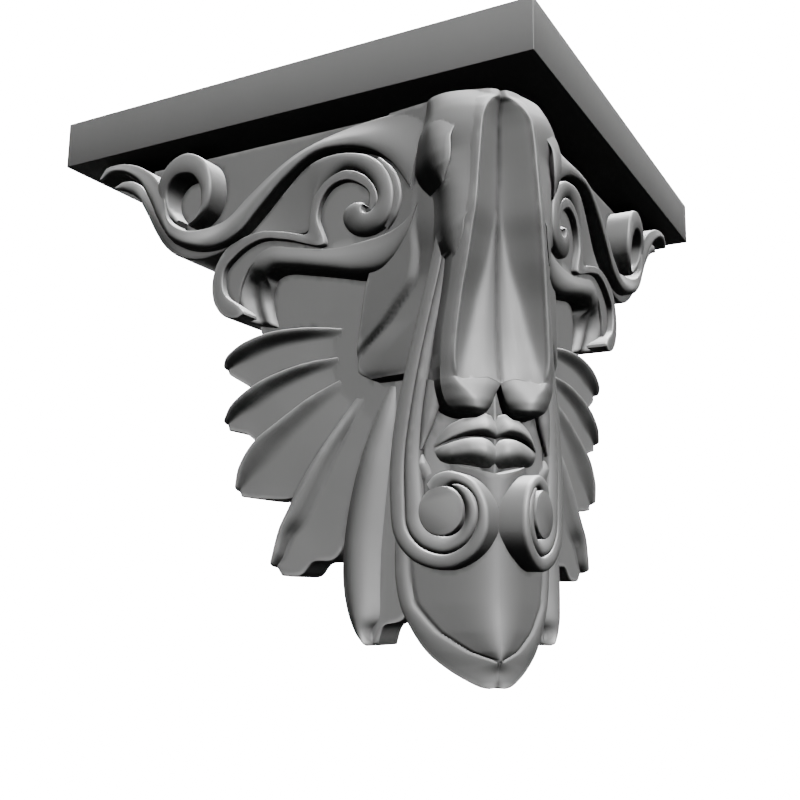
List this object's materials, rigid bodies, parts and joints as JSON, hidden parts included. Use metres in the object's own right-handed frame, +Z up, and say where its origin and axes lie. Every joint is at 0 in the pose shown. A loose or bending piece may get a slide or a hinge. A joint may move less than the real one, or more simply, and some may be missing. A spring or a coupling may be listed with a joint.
{
  "type": "carved corner bracket",
  "caption": "Carved corner bracket: a square slab on an L-shaped carving of scrolls, feather fans, a tall corner leaf, lips and a pointed chin, fixed to the outer corner of a wall.",
  "frame": {"origin": "fixing point on the flat back of the left wing, 60 mm along from the inner corner and 60 mm below the slab", "axes": "+X to the right along the left wing's front, +Y back into the wall, +Z up"},
  "size_m": [0.26, 0.26, 0.2773],
  "materials": {
    "slab_paint": "satin mid-grey paint on planed hardwood",
    "carving_paint": "satin mid-grey paint on carved hardwood"
  },
  "bodies": {
    "root": {"top_slab": "slab_paint", "carved_bracket": "carving_paint"}
  },
  "joints": []
}
